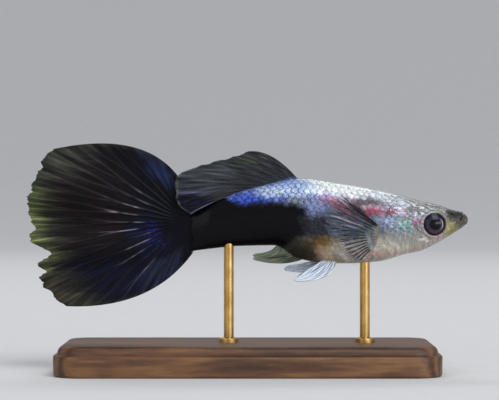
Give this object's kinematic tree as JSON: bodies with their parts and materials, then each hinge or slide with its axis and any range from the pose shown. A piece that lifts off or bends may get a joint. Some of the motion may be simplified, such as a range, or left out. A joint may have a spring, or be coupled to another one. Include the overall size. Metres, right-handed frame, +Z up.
{
  "type": "fancy guppy model on display stand",
  "caption": "Life-size male fancy guppy with a torn fan tail, a trailing back fin and spread breast fins, held by rods on a flat wooden base.",
  "frame": {"origin": "on the underside of the display base, under the middle of the whole model", "axes": "+X is forwards, the way the fish faces; +Y is its left side; +Z is up"},
  "size_m": [0.0441, 0.016, 0.0227],
  "materials": {
    "skin": "wet scaled skin, silvery and iridescent",
    "dark_skin": "wet scaled skin, blue-black",
    "dark_fin": "dark translucent fin membrane over rays",
    "pale_fin": "clear fin membrane over rays",
    "eye": "polished",
    "wood": "waxed walnut",
    "brass": "satin"
  },
  "bodies": {
    "root": {"head": "skin", "trunk": "skin", "tail_stalk": "dark_skin", "tail_fin": "dark_fin", "back_fin": "dark_fin", "anal_fin": "pale_fin", "eye_right": "eye", "breast_fin_right": "pale_fin", "pelvic_fin_right": "pale_fin", "eye_left": "eye", "breast_fin_left": "pale_fin", "pelvic_fin_left": "pale_fin", "stand_base": "wood", "stand_rod_front": "brass", "stand_rod_rear": "brass"}
  },
  "joints": []
}
